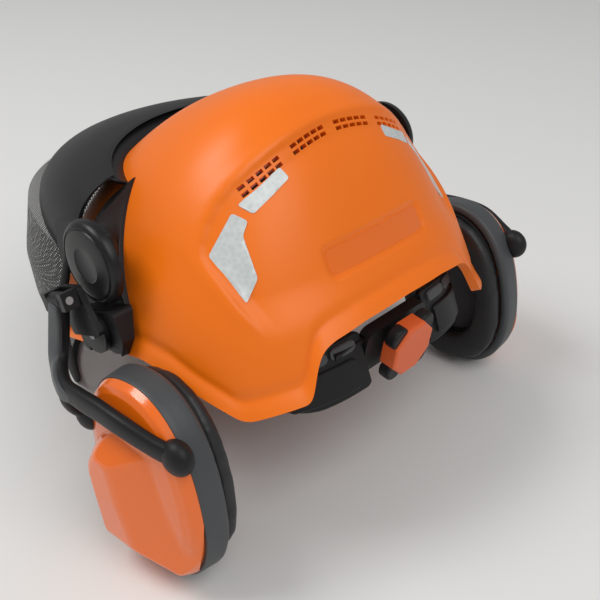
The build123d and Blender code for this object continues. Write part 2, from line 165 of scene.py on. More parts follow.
ORANGE = material("shell_orange", (0.90, 0.178, 0.004), 0.40, grain=0.10, grain_size=1400, smudge=0.05,
                  coat=0.08, coat_rough=0.3, shine=0.35)
LABEL = material("label_orange", (0.86, 0.160, 0.004), 0.20, smudge=0.05, coat=0.5, coat_rough=0.1)
CUP_ORANGE = material("cup_orange", (0.86, 0.150, 0.004), 0.24, smudge=0.04, coat=0.5, coat_rough=0.1)
KNOB_ORANGE = material("knob_orange_satin", (0.72, 0.115, 0.022), 0.4, grain=0.1, smudge=0.05)
BLACK = material("black_moulding", (0.008, 0.008, 0.009), 0.46, grain=0.3, grain_size=1600, smudge=0.06,
                 shine=0.3)
GLOSS_BLACK = material("black_gloss", (0.007, 0.007, 0.008), 0.36, grain=0.15, smudge=0.05, shine=0.35)
GREY = material("grey_moulding", (0.060, 0.064, 0.068), 0.44, grain=0.25, grain_size=1500, smudge=0.05,
                shine=0.35)
STEEL = material("steel_pin", (0.50, 0.50, 0.52), 0.3, metallic=1.0)
WIRE = wire_mesh_material()
RUBBER = material("edge_rubber", (0.012, 0.012, 0.013), 0.7, grain=0.2)
WEB = material("webbing_cloth", (0.018, 0.018, 0.020), 0.85, grain=0.9, grain_size=700, sheen=0.2)
FOAM = material("open_foam", (0.032, 0.033, 0.037), 0.95, grain=1.0, grain_size=600, sheen=0.2)
FILM_SKIN = material("cushion_film", (0.010, 0.0105, 0.012), 0.48, grain=0.4, grain_size=300, smudge=0.08)
REFLECT = film_material()

NODE_LOOKS = {
    "side_bracket": BLACK, "pivot_pin": STEEL, "arm_adapter": BLACK, "arm_carrier": BLACK,
    "turret_pin": STEEL, "arm_turret": GLOSS_BLACK, "swing_pin": STEEL, "cup_plate": BLACK,
    "visor_band": BLACK, "headband": BLACK, "crown_strap": WEB, "strap_clips": BLACK,
    "nape_cradle": BLACK, "ratchet": BLACK, "knob_core": KNOB_ORANGE, "knob_grips": BLACK,
    "knob_screw": STEEL, "pinion": BLACK, "rack": BLACK,
}


# ---------------------------------------------------------------- mesh helpers

def mesh_object(name, verts, faces, look, smooth=True):
    """A mesh object from row-frame points, shaded smooth, normals outward."""
    data = bpy.data.meshes.new(name)
    data.from_pydata([tuple(v) for v in verts], [], faces)
    data.update()
    made = bpy.data.objects.new(name, data)
    bpy.context.collection.objects.link(made)
    for one in look if isinstance(look, list) else [look]:
        data.materials.append(one)
    tool = bmesh.new()
    tool.from_mesh(data)
    bmesh.ops.recalc_face_normals(tool, faces=tool.faces)
    tool.to_mesh(data)
    tool.free()
    if smooth:
        data.polygons.foreach_set("use_smooth", [True] * len(data.polygons))
    return made


def flip_if(mirror_it, points):
    """Mirror an array of helmet-frame points left to right."""
    points = np.array(points, dtype=float)
    if mirror_it:
        points[..., 0] *= -1
    return points


def joined_rings(rings, closed=True, caps=True):
    """Faces over a stack of rings that all have the same number of points."""
    count = rings.shape[1]
    faces = []
    for level in range(rings.shape[0] - 1):
        for k in range(count if closed else count - 1):
            a, b = level * count + k, level * count + (k + 1) % count
            faces.append((a, b, b + count, a + count))
    if caps:
        faces.append(tuple(range(count - 1, -1, -1)))
        last = (rings.shape[0] - 1) * count
        faces.append(tuple(range(last, last + count)))
    return faces


def smooth_path(points, steps=10):
    """A Catmull-Rom curve through points."""
    p = np.array(points, dtype=float)
    p = np.vstack([2 * p[0] - p[1], p, 2 * p[-1] - p[-2]])
    out = []
    for k in range(1, len(p) - 2):
        for s in range(steps):
            t = s / steps
            out.append(0.5 * (2 * p[k] + (p[k + 1] - p[k - 1]) * t
                              + (2 * p[k - 1] - 5 * p[k] + 4 * p[k + 1] - p[k + 2]) * t ** 2
                              + (3 * p[k] - p[k - 1] - 3 * p[k + 1] + p[k + 2]) * t ** 3))
    out.append(p[-2])
    return np.array(out)


def bar_rings(path, halves, hint=(1, 0, 0), power=2.6, count=28):
    """Rounded sections along a path: halves gives (along hint, across) half sizes at each point."""
    rings = []
    hint = Vector(hint)
    for k, point in enumerate(path):
        ahead = Vector(path[min(k + 1, len(path) - 1)] - path[max(k - 1, 0)]).normalized()
        side = (hint - ahead * hint.dot(ahead)).normalized()
        other = ahead.cross(side)
        a, b = halves[k]
        ring = []
        for j in range(count):
            turn = 2 * math.pi * j / count
            c, s = math.cos(turn), math.sin(turn)
            u = math.copysign(abs(c) ** (2 / power), c) * a
            v = math.copysign(abs(s) ** (2 / power), s) * b
            ring.append(Vector(point) + side * u + other * v)
        rings.append(ring)
    return np.array(rings)


def bar(name, points, halves, look, mirror_it=False, hint=(1, 0, 0), power=2.6, steps=10):
    """A moulded bar with a rounded section that changes along its way, with rounded ends."""
    path = smooth_path(points, steps)
    along = np.linspace(0, len(points) - 1, len(path))
    sizes = np.stack([np.interp(along, range(len(points)), [h[i] for h in halves]) for i in (0, 1)], axis=1)
    first, last = path[0] - path[1], path[-1] - path[-2]
    first, last = first / np.linalg.norm(first), last / np.linalg.norm(last)
    r0, r1 = sizes[0].min(), sizes[-1].min()
    lead = [path[0] + first * r0 * f for f in (0.42, 0.3)]
    tail = [path[-1] + last * r1 * f for f in (0.3, 0.42)]
    path = np.vstack([lead, path, tail])
    sizes = np.vstack([sizes[0] * 0.45, sizes[0] * 0.8, sizes, sizes[-1] * 0.8, sizes[-1] * 0.45])
    rings = bar_rings(path, sizes, hint, power)
    rings = row(flip_if(mirror_it, rings))
    return mesh_object(name, rings.reshape(-1, 3), joined_rings(rings), look)


def ball(name, centre, radius, look, mirror_it=False, squash=1.0):
    """A ball or a flattened one, along X."""
    rings = []
    for level in np.linspace(-math.pi / 2 + 0.06, math.pi / 2 - 0.06, 18):
        ring = [(centre[0] + squash * radius * math.sin(level),
                 centre[1] + radius * math.cos(level) * math.cos(t),
                 centre[2] + radius * math.cos(level) * math.sin(t))
                for t in np.linspace(0, 2 * math.pi, 32, endpoint=False)]
        rings.append(ring)
    rings = row(flip_if(mirror_it, rings))
    return mesh_object(name, rings.reshape(-1, 3), joined_rings(rings), look)


def lathe_x(name, profile, y, z, look, mirror_it=False, count=96):
    """A turned piece about an axis along X: profile is (radius, X)."""
    rings = [[(x, y + r * math.cos(t), z + r * math.sin(t))
              for t in np.linspace(0, 2 * math.pi, count, endpoint=False)] for r, x in profile]
    rings = row(flip_if(mirror_it, rings))
    made = mesh_object(name, rings.reshape(-1, 3), joined_rings(rings), look)
    crease(made, 32)
    return made


def crease(obj, degrees):
    """Keep edges sharper than this angle crisp."""
    obj.data.set_sharp_from_angle(angle=math.radians(degrees))


def oval(half_x, half_y, power, count=96, centre=(0.0, 0.0)):
    """Points of a superellipse, evenly spread by direction."""
    turn = np.linspace(0, 2 * math.pi, count, endpoint=False)
    c, s = np.cos(turn), np.sin(turn)
    reach = 1 / (np.abs(c / half_x) ** power + np.abs(s / half_y) ** power) ** (1 / power)
    return np.stack([centre[0] + reach * c, centre[1] + reach * s], axis=1)


# ---------------------------------------------------------------- shell

EAR_ARCH = [(-140, 47), (-80, 44), (-30, 41), (8, 38.5), (32, 36.5), (50, 33), (66, 25), (79, 13), (88, 4),
            (93, -2), (96, -3.5), (140, -3.5)]
NAPE_ARCH = [(0, 23.5), (30, 22.8), (50, 20.5), (56, 18.3), (60, 14), (63, 8), (66, 1), (68, -3.5), (130, -3.5)]
PANEL_EDGE = [(0, 117.6), (10, 117.2), (22, 115.9), (31, 114.2), (40, 111.8), (50, 108.2), (61, 102.8),
              (69, 97), (76, 89.5), (81.5, 81), (83.5, 76), (84, 70), (83, 60), (81.5, 50), (79, 40), (77, 32)]


def smoothstep(value, low, high):
    t = np.clip((value - low) / (high - low), 0, 1)
    return t * t * (3 - 2 * t)


def dome_at(turn, rise_angle, offset=0.0):
    """Outer surface by direction (0 to the nape) and by how far up towards the crown."""
    c, s = np.cos(turn), np.sin(turn)
    reach = 1 / (np.abs(c) ** PLAN + np.abs(s) ** PLAN) ** (1 / PLAN)
    lift = np.sin(rise_angle) ** RISE
    fall = np.cos(rise_angle) ** FALL
    length = np.where(c > 0, REAR, FRONT) + offset
    x = (HALF_WIDTH + offset) * fall * reach * s
    y = CENTRE_Y + CROWN_SHIFT * lift ** 2 + length * fall * reach * c
    return np.stack([x, y, (CROWN + offset) * lift], axis=-1)


def edge_distance(x, z):
    """Signed distance in the rear view to the border of the rear panel: positive inside it."""
    edge = np.array(PANEL_EDGE)
    best = np.full(x.shape, 1e9)
    for (x0, z0), (x1, z1) in zip(edge[:-1], edge[1:]):
        t = np.clip(((x - x0) * (x1 - x0) + (z - z0) * (z1 - z0)) / ((x1 - x0) ** 2 + (z1 - z0) ** 2), 0, 1)
        best = np.minimum(best, np.hypot(x - x0 - t * (x1 - x0), z - z0 - t * (z1 - z0)))
    top = np.interp(x, edge[:10, 0], edge[:10, 1], right=-1e3)
    side = np.interp(z, edge[::-1, 1], edge[::-1, 0])
    inside = np.where(z < 81, x < side, z < top)
    return np.where(inside, best, -best)


def rounded_box(x, z, half_x, z0, z1, radius):
    """Signed distance to a rounded rectangle in the rear view: negative inside."""
    mid, half_z = (z0 + z1) / 2, (z1 - z0) / 2
    qx, qz = np.abs(x) - half_x + radius, np.abs(z - mid) - half_z + radius
    return np.hypot(np.maximum(qx, 0), np.maximum(qz, 0)) + np.minimum(np.maximum(qx, qz), 0) - radius


def relief(points, from_rim):
    """How far the surface stands out from the plain dome: rear panel, its lip, label recess, rim and brow."""
    x, y, z = np.abs(points[..., 0]), points[..., 1], points[..., 2]
    behind = smoothstep(y, 40, 60)
    inside = edge_distance(x, z)
    fade = smoothstep(z, 28, 52)
    slope = np.clip(inside / np.interp(z, [60, 95], [6.5, 8.8]), 0, 1)
    stand = -3.3 * (0.66 * slope + 0.34 * smoothstep(slope, 0, 0.3)) * fade * behind
    lip = 0.5 * np.exp(-((inside + 1.6) / 2.6) ** 2) * fade * behind
    label = -1.5 * (1 - smoothstep(rounded_box(x, z, 38, 45.5, 63, 5), -1.7, 0.5)) * behind
    rim = 2.6 * np.clip(1 - from_rim / 9.0, 0, 1)
    roll = -0.7 * np.exp(-((from_rim - 9.5) / 3.5) ** 2)
    brow = 1.6 * smoothstep(-y, 40, 110) * smoothstep(30 - from_rim, 0, 24)
    return stand + lip + label + rim + roll + brow


def rim_height(x, y):
    ear = np.interp(y, [p[0] for p in EAR_ARCH], [p[1] for p in EAR_ARCH])
    nape = np.interp(np.abs(x), [p[0] for p in NAPE_ARCH], [p[1] for p in NAPE_ARCH])
    return np.maximum(ear, np.where(y > 60, nape, -3.5))


def column_turns():
    """Directions round the shell, closer together at the rear where the relief is."""
    rear = np.linspace(-math.pi / 2, math.pi / 2, 360, endpoint=False)
    front = np.linspace(math.pi / 2, 3 * math.pi / 2, 110, endpoint=False)
    return np.concatenate([rear, front])


def make_shell():
    turns = column_turns()
    start = np.full(turns.shape, 0.01)
    for _ in range(12):
        foot = dome_at(turns, np.maximum(start, 0.0))
        height = np.clip(rim_height(foot[:, 0], foot[:, 1]), 0.0, None)
        start = np.arcsin(np.clip(height / CROWN, 0, 1) ** (1 / RISE))
    below = np.minimum(rim_height(foot[:, 0], foot[:, 1]), 0)
    for _ in range(6):
        start = (np.roll(start, 1) + 2 * start + np.roll(start, -1)) / 4
        below = (np.roll(below, 1) + 2 * below + np.roll(below, -1)) / 4
    share = np.linspace(0, 1, 132)
    top = math.radians(89.0)
    rises = start[None, :] + (top - start[None, :]) * (share[:, None] ** 1.04)
    plain = dome_at(turns[None, :].repeat(len(share), 0), rises)
    drop = np.exp(-(plain[..., 2] - plain[0:1, :, 2]) / 14.0)
    plain[..., 2] += below[None, :] * drop
    step = np.linalg.norm(np.diff(plain, axis=0), axis=2)
    from_rim = np.vstack([np.zeros((1, len(turns))), np.cumsum(step, axis=0)])
    normal = np.cross(np.roll(plain, -1, axis=1) - np.roll(plain, 1, axis=1), np.gradient(plain, axis=0))
    normal /= np.linalg.norm(normal, axis=2, keepdims=True)
    outward = np.sign((normal * (plain - np.array([0, 20, 40]))).sum(axis=2, keepdims=True))
    normal *= outward
    stand = relief(plain, from_rim)
    outer = plain + normal * stand[..., None]
    keep = [0] + list(range(6, len(share) - 1, 6)) + [len(share) - 1]
    deepest = np.array([np.minimum(stand[max(0, level - 7):level + 8], 0).min(axis=0) for level in keep])
    deepest = np.minimum(deepest, np.minimum(np.roll(deepest, 5, axis=1), np.roll(deepest, -5, axis=1)))
    inner = plain[keep] - normal[keep] * (WALL - deepest)[..., None]
    inner[0] = plain[0] - normal[0] * (WALL - 0.6)
    count, rows = len(turns), len(share)
    verts = np.vstack([outer.reshape(-1, 3), inner.reshape(-1, 3)])
    faces = []
    for level in range(rows - 1):
        for k in range(count):
            n = (k + 1) % count
            faces.append((level * count + k, level * count + n, (level + 1) * count + n, (level + 1) * count + k))
    base = rows * count
    for level in range(len(keep) - 1):
        for k in range(count):
            n = (k + 1) % count
            a = base + level * count
            faces.append((a + n, a + k, a + count + k, a + count + n))
    for k in range(count):
        n = (k + 1) % count
        faces.append((k, base + k, base + n, n))
    faces.append(tuple((rows - 1) * count + k for k in range(count)))
    faces.append(tuple(base + (len(keep) - 1) * count + k for k in range(count - 1, -1, -1)))
    shell = mesh_object("shell_moulding", row(verts), faces, ORANGE)
    cut_vents(shell)
    crease(shell, 38)
    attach(shell, "helmet")
    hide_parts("shell")
    return shell


def rear_y(x, z):
    """Y of the rear of the dome in the rear view."""
    lift = z / CROWN
    fall = (1 - lift ** (2 / RISE)) ** (FALL / 2)
    side = np.minimum((np.abs(x) / (HALF_WIDTH * fall)) ** PLAN, 0.999)
    return CENTRE_Y + CROWN_SHIFT * lift ** 2 + REAR * fall * (1 - side) ** (1 / PLAN)


def rear_point(x, z, out=0.0):
    """A point on the rear of the dome, moved out along the normal."""
    h = 0.4
    here = np.array([x, rear_y(x, z), z])
    along = np.array([x + h, rear_y(x + h, z), z]) - here
    up = np.array([x, rear_y(x, z + h), z + h]) - here
    normal = np.cross(up, along)
    normal /= np.linalg.norm(normal)
    if normal[1] < 0:
        normal = -normal
    return here + normal * out, normal, along / np.linalg.norm(along)


def cut_vents(shell):
    """Forty small slots in two rows under the crown's edge."""
    verts, faces = [], []
    for group in (5.8, 37.8):
        for column in range(5):
            for line in range(2):
                for side in (1, -1):
                    x = side * (group + 5.0 * column)
                    z = 114.6 - 15.0 * (abs(x) / 61) ** 1.8 - 3.0 * line
                    slope = -side * 15.0 * 1.8 / 61 * (abs(x) / 61) ** 0.8
                    here, normal, _ = rear_point(x, z)
                    ahead, _, _ = rear_point(x + 1.0, z + slope)
                    along = (ahead - here) / np.linalg.norm(ahead - here)
                    up = np.cross(normal, along)
                    corners = []
                    for depth in (-9, 6):
                        for a, b in ((-2.0, -0.95), (2.0, -0.95), (2.0, 0.95), (-2.0, 0.95)):
                            corners.append(here + along * a + up * b + normal * depth)
                    base = len(verts)
                    verts += corners
                    faces += [tuple(base + i for i in f) for f in
                              ((0, 3, 2, 1), (4, 5, 6, 7), (0, 1, 5, 4), (1, 2, 6, 5), (2, 3, 7, 6), (3, 0, 4, 7))]
    cutter = mesh_object("vent_cutter", row(np.array(verts)), faces, BLACK, smooth=False)
    cut = shell.modifiers.new("vents", "BOOLEAN")
    cut.operation = "DIFFERENCE"
    cut.solver = "MANIFOLD"
    cut.object = cutter
    bpy.context.view_layer.objects.active = shell
    bpy.ops.object.modifier_apply(modifier="vents")
    bpy.data.objects.remove(cutter, do_unlink=True)


def rounded_polygon(corners, radius, steps=6):
    """A polygon in the rear view with its corners rounded."""
    out = []
    for k, corner in enumerate(corners):
        here = Vector(corner)
        before, after = Vector(corners[k - 1]), Vector(corners[(k + 1) % len(corners)])
        r = min(radius, (before - here).length * 0.4, (after - here).length * 0.4)
        start = here + (before - here).normalized() * r
        end = here + (after - here).normalized() * r
        for s in range(steps + 1):
            t = s / steps
            out.append(start * (1 - t) ** 2 + here * 2 * t * (1 - t) + end * t ** 2)
    return out


def make_film(name, corners, side, look, replaced, lift, thick=0.35, radius=1.5):
    """A sticker that follows the shell's rear, inside an outline in the rear view."""
    outline = rounded_polygon([(side * x, z) for x, z in corners], radius)
    xs, zs = [p.x for p in outline], [p.y for p in outline]
    points = list(outline)
    edges = [(k, (k + 1) % len(outline)) for k in range(len(outline))]
    for gx in np.arange(min(xs), max(xs), 1.6):
        for gz in np.arange(min(zs), max(zs), 1.6):
            hit, near = False, 1e9
            for k in range(len(outline)):
                a, b = outline[k], outline[(k + 1) % len(outline)]
                near = min(near, math.hypot(a.x - gx, a.y - gz))
                if (a.y > gz) != (b.y > gz) and gx < (b.x - a.x) * (gz - a.y) / (b.y - a.y) + a.x:
                    hit = not hit
            if hit and near > 0.8:
                points.append(Vector((gx, gz)))
    flat, _, tris, _, _, _ = delaunay_2d_cdt(points, edges, [], 1, 1e-5)
    pts = np.array([(p.x, 0, p.y) for p in flat])
    outer, inner = [], []
    for x, _, z in pts:
        spot, normal, _ = rear_point(x, z)
        height = relief(spot[None, None, :], np.array([[60.0]]))[0, 0] + lift
        outer.append(spot + normal * height)
        inner.append(spot + normal * (height - thick))
    count = len(outer)
    faces = [tuple(t) for t in tris] + [tuple(count + i for i in reversed(t)) for t in tris]
    used = {}
    for t in tris:
        for a, b in zip(t, t[1:] + t[:1]):
            used[(a, b)] = True
    for a, b in list(used):
        if (b, a) not in used:
            faces.append((b, a, count + a, count + b))
    made = mesh_object(name, row(np.array(outer + inner)), faces, look)
    crease(made, 40)
    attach(made, "helmet")
    if replaced:
        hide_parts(replaced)
    return made


def make_films():
    for name, side in SIDES.items():
        make_film(f"reflector_upper_{name}", [(63, 94.2), (38, 104.6), (36.4, 98.6), (59.5, 88.4)], side,
                  REFLECT, f"reflector_top_{name}", 0.3)
        make_film(f"reflector_lower_{name}", [(66.5, 91.5), (62.8, 86.2), (67.5, 80.5), (70, 60), (78, 50.5),
                                             (81.2, 75.5)], side,
                  REFLECT, f"reflector_side_{name}", 0.3)
    make_film("label_plate", [(-35.8, 47.8), (35.8, 47.8), (35.8, 60.7), (-35.8, 60.7)], 1,
              LABEL, "size_plate", 0.15, radius=4.0)


# ---------------------------------------------------------------- visor

MESH_ROWS = [(-8, 107.5, 147), (-40, 112, 155), (-62, 109.5, 156), (-85, 103.5, 156), (-120, 96, 154),
             (-150, 89, 151)]
SIDE_BORDER = [(-8, -28), (-60, -44), (-105, -72), (-150, -104)]


def visor_row(points):
    """Visor-frame millimetres, level with the floor, to row-frame metres."""
    p = np.asarray(points, dtype=float) / 1000
    return p + np.array([0, PIVOT_ROW.y, PIVOT_ROW.z])


def visor_point(z, turn, grow=0.0):
    """On the wire sheet: turn is the direction from straight ahead."""
    levels = [m[0] for m in MESH_ROWS][::-1]
    half = np.interp(z, levels, [m[1] for m in MESH_ROWS][::-1]) + grow
    front = np.interp(z, levels, [m[2] for m in MESH_ROWS][::-1]) + grow
    reach = 1 / ((abs(math.sin(turn)) / half) ** 2.3 + (abs(math.cos(turn)) / front) ** 2.3) ** (1 / 2.3)
    return np.array([reach * math.sin(turn), -reach * math.cos(turn), z])


def side_turn(z):
    """The direction in which the visor's border lies at one height."""
    border = -np.interp(z, [b[0] for b in SIDE_BORDER][::-1], [b[1] for b in SIDE_BORDER][::-1])
    low, high = 0.2, 1.7
    for _ in range(30):
        mid = (low + high) / 2
        if -visor_point(z, mid)[1] > border:
            low = mid
        else:
            high = mid
    return low


def make_visor():
    floor = -PIVOT_ROW.z * 1000 + 0.6
    levels = np.linspace(-8, floor, 26)
    grid, texture = [], []
    for z in levels:
        limit = side_turn(z)
        line = [visor_point(z, t) for t in np.linspace(-limit, limit, 90)]
        grid.append(line)
        texture.append([(150 * t, z) for t in np.linspace(-limit, limit, 90)])
    grid = np.array(grid)
    texture = np.array(texture).reshape(-1, 2) / 1000
    sheet = mesh_object("visor_wire_sheet", visor_row(grid).reshape(-1, 3),
                        joined_rings(grid, closed=False, caps=False), WIRE)
    layer = sheet.data.uv_layers.new(name="wires")
    for loop in sheet.data.loops:
        layer.data[loop.index].uv = texture[loop.vertex_index]
    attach(sheet, "visor")
    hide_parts("visor_mesh")
    path = [grid[k, 0] for k in range(0, 26, 2)] + [grid[-1, 0]]
    path += [grid[-1, k] for k in range(6, 89, 6)]
    path += [grid[-1, -1]] + [grid[k, -1] for k in range(24, -1, -2)]
    path = smooth_path(path, 4)
    path[:, 2] = np.maximum(path[:, 2], floor + 2.2)
    rings = bar_rings(path, [(2.4, 2.2)] * len(path), hint=(0.3, 0.2, 1), power=2.0, count=14)
    rings = visor_row(rings)
    trim = mesh_object("visor_edge_trim", rings.reshape(-1, 3), joined_rings(rings), RUBBER)
    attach(trim, "visor")
    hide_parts("visor_trim")


def shell_share(x, y, z):
    """Below 1 inside the shell's dome, above 1 outside, for one helmet-frame point."""
    lift = min(max(z / CROWN, 0.0), 0.999)
    fall = (1 - lift ** (2 / RISE)) ** (FALL / 2)
    away = y - CENTRE_Y - CROWN_SHIFT * lift ** 2
    reach = (REAR if away > 0 else FRONT) * fall
    return (abs(x) / (HALF_WIDTH * fall)) ** PLAN + (abs(away) / reach) ** PLAN


def make_band_lip():
    """The band's upper edge, turned in towards the shell."""
    c, s = math.cos(LEAN), math.sin(LEAN)
    rings = []
    for turn in np.linspace(-1.28, 1.28, 110):
        reach = 1 / ((abs(math.sin(turn)) / 84) ** 1.9 + (abs(math.cos(turn)) / 76) ** 1.9) ** (1 / 1.9)
        out = np.array([math.sin(turn), -math.cos(turn), 0.0])
        edge = out * reach + np.array([0, 0, 26.2])
        length = 0.0
        for trial in np.linspace(0.5, 17.0, 34):
            spot = edge - out * trial * 0.85 - np.array([0, 0, trial * 0.53])
            x, y, z = spot[0], c * spot[1] + s * spot[2] + 37.0, -s * spot[1] + c * spot[2] + 84.0
            if shell_share(x * 1.025, y, z + 1.8) < 1.04:
                break
            length = trial
        tip = edge - out * length * 0.85 - np.array([0, 0, length * 0.53])
        mid = (edge + tip) / 2 - np.array([0, 0, 0.06 * length])
        start = edge + out * 0.8
        up = np.array([0, 0, 1.0])
        rings.append([start + up * 0.7, mid + up * 0.9, tip + up * 0.7, tip - up * 0.5, mid - up * 0.7,
                      start - up * 1.2])
    rings = visor_row(np.array(rings))
    lip = mesh_object("band_lip", rings.reshape(-1, 3), joined_rings(rings), BLACK)
    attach(lip, "visor")


BRACKET_EDGE = [(30, 114), (24, 111.5), (8, 103.5), (-4, 87), (-8, 62), (-5, 50), (4, 44.5), (20, 42.5), (38, 43),
                (43, 46), (43.5, 54), (40, 64), (36, 78), (33, 92), (31, 104)]


def side_x(y, z):
    """X of the left side of the dome."""
    lift = z / CROWN
    fall = (1 - lift ** (2 / RISE)) ** (FALL / 2)
    away = y - CENTRE_Y - CROWN_SHIFT * lift ** 2
    reach = (REAR if away > 0 else FRONT) * fall
    return HALF_WIDTH * fall * (1 - min(abs(away) / reach, 0.999) ** PLAN) ** (1 / PLAN)


def make_bracket(name, side):
    """The moulded bracket: its edge lies on the shell and it rises to the visor's pivot."""
    edge = smooth_path([(0, y, z) for y, z in BRACKET_EDGE] + [(0,) + BRACKET_EDGE[0]], 8)[:-1, 1:]
    hub = np.array([32.0, 82.5])
    rings = []
    for share, out in ((1.0, -0.8), (1.0, 1.6), (0.985, 2.4), (0.95, 2.9)):
        rings.append([(side_x(*(hub + (p - hub) * share)) + out, *(hub + (p - hub) * share)) for p in edge])
    for blend, reach in ((0.25, 0.16), (0.5, 0.42), (0.75, 0.74), (1.0, 1.0)):
        ring = []
        for p in edge:
            away = (p - hub) / np.linalg.norm(p - hub)
            spot = (hub + (p - hub) * 0.95) * (1 - blend) + (hub + away * 14.0) * blend
            low = side_x(*spot) + 2.9
            ring.append((low * (1 - reach) + 104.2 * reach, *spot))
        rings.append(ring)
    rings.append([(103.6, *(hub + (p - hub) / np.linalg.norm(p - hub) * 12.5)) for p in edge])
    rings = row(flip_if(side < 0, np.array(rings)))
    made = mesh_object(f"bracket_moulding_{name}", rings.reshape(-1, 3), joined_rings(rings), BLACK)
    crease(made, 35)
    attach(made, "helmet")
    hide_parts(f"side_bracket_{name}")


def make_caps():
    """Turned caps over the visor's pivots."""
    profile = [(0.6, 114.2), (8.0, 114.2), (9.2, 114.9), (15.5, 114.7), (17.6, 114.2), (18.0, 113.5),
               (18.6, 113.5), (19.2, 114.0), (20.4, 113.4), (21.3, 112.2), (21.7, 110.6), (21.7, 108.6),
               (19.0, 108.6), (4.4, 108.6)]
    for name, side in SIDES.items():
        cap = lathe_x(f"visor_cap_{name}", profile, VISOR_PIVOT[1], VISOR_PIVOT[2], GLOSS_BLACK, side < 0)
        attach(cap, "visor")
        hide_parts(f"pivot_cap_{name}")


# ---------------------------------------------------------------- earmuffs

def cup_point(across, up, out):
    """From a cup drawn flat to the helmet frame, on the wearer's left."""
    c, s = math.cos(math.radians(10)), math.sin(math.radians(10))
    across, up, out = (np.asarray(v, dtype=float) for v in (across, up, out))
    return np.stack([CUP[0] + out + 0 * across, CUP[1] + across * c + up * s, CUP[2] - across * s + up * c],
                    axis=-1)


def cup_norm(across, up, half_x, half_y, power, centre=0.0):
    return ((np.abs(across) / half_x) ** power + (np.abs(up - centre) / half_y) ** power) ** (1 / power)


def soft_min(values, radius):
    """The lowest of several surfaces, with a small fillet where they meet."""
    low = values[0]
    for other in values[1:]:
        h = np.clip(0.5 + 0.5 * (other - low) / radius, 0, 1)
        low = other * (1 - h) + low * h - radius * h * (1 - h)
    return low


def cup_height(across, up):
    """How far the cup's outer face stands out: a shallow dome, with a thick faceted bulge below the arm."""
    q = cup_norm(across, up, CUP_W - 1, CUP_H - 1, 2.3)
    shallow = np.interp(q, [0, 0.55, 0.78, 0.9, 0.96, 1.0], [11.6, 11.2, 10.3, 8.9, 7.2, RIM_OUT])
    lump = cup_norm(across, up, CUP_W - 1.8, 42.0, 2.15, -11.0)
    wall = np.interp(lump, [0, 0.68, 0.79, 0.88, 0.95, 1.0, 1.06], [34.0, 23.6, 20.4, 15.8, 10.4, 5.4, -8.0])
    facet = 21.8 - 0.02 * np.abs(up + 8)
    rear_flank = 21.8 - (across + 6.0 + 0.12 * up) * 0.42
    front_flank = 21.8 + (across + 24.0) * 0.9
    chamfer = 21.8 + (up + 32.0 + 0.10 * across) * 0.95
    crest = 21.8 - (up - 12.0 + 0.25 * across) * 0.75
    bulge = soft_min([facet, rear_flank, front_flank, chamfer, crest, wall], 1.5)
    blend = np.clip(0.5 + (bulge - shallow) / 2.4, 0, 1)
    return shallow * (1 - blend) + bulge * blend + 0.6 * blend * (1 - blend)


def make_cup_shell(name, side):
    count, levels = 200, 84
    outline = oval(CUP_W - 1, CUP_H - 1, 2.3, count)
    share = 1 - np.linspace(0, 1, levels) ** 1.35
    share = np.concatenate([[1.0], share[1:-1], [0.012]])
    rings = []
    rings.append(cup_point(outline[:, 0] * 0.97, outline[:, 1] * 0.97, np.full(count, RIM_OUT - 0.4)))
    for s in share:
        a, b = outline[:, 0] * s, outline[:, 1] * s
        rings.append(cup_point(a, b, cup_height(a, b)))
    rings = row(flip_if(side < 0, np.array(rings)))
    cup = mesh_object(f"cup_cover_{name}", rings.reshape(-1, 3), joined_rings(rings), CUP_ORANGE)
    crease(cup, 42)
    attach(cup, f"cup_{name}")
    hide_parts(f"cup_shell_{name}")


def make_cup_ring(name, side):
    levels = [(-13.9, -3.6), (-14.1, -1.8), (-13.6, -0.2), (-12.4, 0.6), (-11.0, 0.8), (-7.0, 0.4), (-3.0, 0.1),
              (-0.8, -0.1), (0.0, -0.5), (0.1, -1.4), (-0.4, -3.4)]
    rings = []
    for out, grow in levels + [levels[0]]:
        line = oval(CUP_W + grow, CUP_H + grow, 2.3, 120)
        rings.append(cup_point(line[:, 0], line[:, 1], np.full(120, out + RIM_OUT)))
    rings = row(flip_if(side < 0, np.array(rings[:-1])))
    faces = joined_rings(rings, caps=False)
    last = (len(levels) - 1) * 120
    faces += [(last + k, last + (k + 1) % 120, (k + 1) % 120, k) for k in range(120)]
    ring = mesh_object(f"cup_rim_{name}", rings.reshape(-1, 3), faces, GREY)
    crease(ring, 40)
    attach(ring, f"cup_{name}")
    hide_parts(f"cup_ring_{name}")


